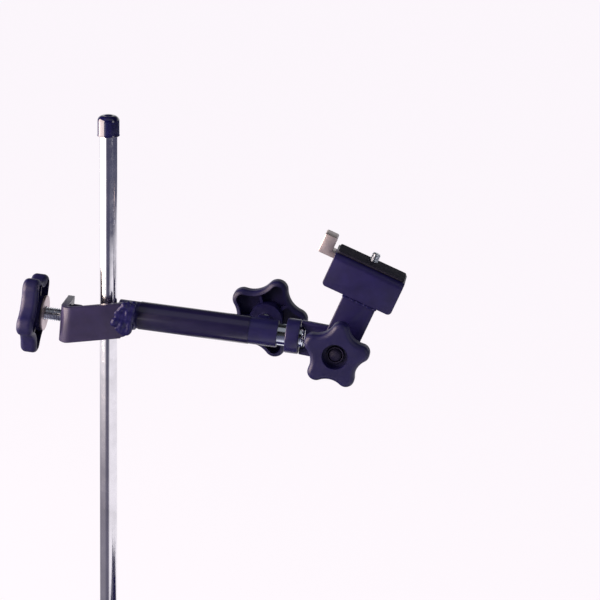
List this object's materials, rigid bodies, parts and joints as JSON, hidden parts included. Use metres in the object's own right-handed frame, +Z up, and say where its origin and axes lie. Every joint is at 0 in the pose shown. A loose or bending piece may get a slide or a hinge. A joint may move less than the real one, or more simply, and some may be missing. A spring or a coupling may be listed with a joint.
{
  "type": "tabletop camera stand",
  "caption": "Tabletop stand with a weighted base, an upright rod, a sliding clamp with a telescoping arm, and a tilting camera platform.",
  "frame": {"origin": "centre of the pad's underside, where the stand rests on the table", "axes": "+Z up along the rod, +X from the rod toward the camera platform, -Y toward the side that the picture shows"},
  "size_m": [0.3294, 0.254, 0.4676],
  "materials": {
    "powder_coat": "satin black",
    "zinc": "bright zinc plate",
    "knob_plastic": "satin black, moulded",
    "vinyl": "glossy black",
    "rubber": "matte",
    "brass": "turned",
    "black_steel": "black oxide",
    "nylon": "natural",
    "label_film": "glossy black film"
  },
  "bodies": {
    "base": {"base_plate": "powder_coat", "base_pad": "rubber", "foot_screw": "zinc"},
    "post": {"rod": "zinc", "rod_cap": "vinyl"},
    "clamp": {"clamp_strap": "powder_coat", "clamp_nut": "powder_coat", "strap_weld": "powder_coat", "tube_weld": "powder_coat", "arm_tube": "powder_coat", "arm_label": "label_film", "lock_nut": "powder_coat"},
    "clamp_screw_thrust": {"clamp_washer": "zinc"},
    "clamp_knob": {"clamp_knob": "knob_plastic", "clamp_screw": "zinc"},
    "lock_thrust": {"lock_pad": "brass"},
    "lock_knob": {"lock_knob": "knob_plastic", "lock_screw": "zinc"},
    "extension": {"extension_rod": "zinc"},
    "head": {"head_collar": "powder_coat", "head_bracket": "powder_coat", "tilt_bolt": "black_steel", "bolt_washer": "zinc", "friction_washer": "nylon"},
    "platform": {"tilt_plate": "powder_coat", "camera_platform": "powder_coat", "platform_weld": "powder_coat", "camera_pad": "rubber", "rear_stop": "zinc"},
    "tilt_thrust": {"tilt_washer": "zinc"},
    "tilt_knob": {"tilt_knob": "knob_plastic", "tilt_insert": "black_steel"},
    "camera_thrust": {"camera_washer": "nylon"},
    "camera_screw": {"camera_screw": "zinc"}
  },
  "joints": [
    {"name": "arm_swing", "type": "hinge", "parent": "base", "child": "post", "pos_m": [-0.1125, 0, 0], "axis": [0, 0, 1], "continuous": true},
    {"name": "clamp_height", "type": "slide", "parent": "post", "child": "clamp", "axis": [0, 0, 1], "range_m": [-0.19, 0.115]},
    {"name": "clamp_screw_travel", "type": "slide", "parent": "clamp", "child": "clamp_screw_thrust", "axis": [-0.9969, 0, 0.0785], "range_m": [0, 0.00634]},
    {"name": "clamp_knob_turn", "type": "hinge", "parent": "clamp_screw_thrust", "child": "clamp_knob", "pos_m": [-0.15919, 0, 0.31645], "axis": [-0.9969, 0, 0.0785], "range_deg": [0, 1440]},
    {"name": "lock_screw_travel", "type": "slide", "parent": "clamp", "child": "lock_thrust", "axis": [0, 1, 0], "range_m": [0, 0.00317]},
    {"name": "lock_knob_turn", "type": "hinge", "parent": "lock_thrust", "child": "lock_knob", "pos_m": [-0.00015, 0, 0.31196], "axis": [0, 1, 0], "range_deg": [0, 720]},
    {"name": "extension_slide", "type": "slide", "parent": "clamp", "child": "extension", "axis": [0.9969, 0, -0.0785], "range_m": [-0.0055, 0.055]},
    {"name": "head_roll", "type": "hinge", "parent": "extension", "child": "head", "pos_m": [0.02876, 0, 0.30968], "axis": [0.9969, 0, -0.0785], "continuous": true},
    {"name": "tilt", "type": "hinge", "parent": "head", "child": "platform", "pos_m": [0.05728, 0, 0.30567], "axis": [0, 1, 0], "range_deg": [-45, 80]},
    {"name": "tilt_knob_travel", "type": "slide", "parent": "head", "child": "tilt_thrust", "axis": [0, -1, 0], "range_m": [0, 0.00317]},
    {"name": "tilt_knob_turn", "type": "hinge", "parent": "tilt_thrust", "child": "tilt_knob", "pos_m": [0.05728, 0, 0.30567], "axis": [0, -1, 0], "range_deg": [0, 720]},
    {"name": "camera_screw_travel", "type": "slide", "parent": "platform", "child": "camera_thrust", "axis": [0.3827, 0, 0.9239], "range_m": [-0.00761, 0]},
    {"name": "camera_screw_turn", "type": "hinge", "parent": "camera_thrust", "child": "camera_screw", "pos_m": [0.05451, 0.006, 0.30682], "axis": [0.3827, 0, 0.9239], "range_deg": [-2160, 0]}
  ],
  "couplings": [
    {"joint": "clamp_knob_turn", "follows": "clamp_screw_travel", "rad_per_m": 3957.9},
    {"joint": "lock_knob_turn", "follows": "lock_screw_travel", "rad_per_m": 3957.9},
    {"joint": "tilt_knob_turn", "follows": "tilt_knob_travel", "rad_per_m": 3957.9},
    {"joint": "camera_screw_turn", "follows": "camera_screw_travel", "rad_per_m": 4947.4}
  ]
}
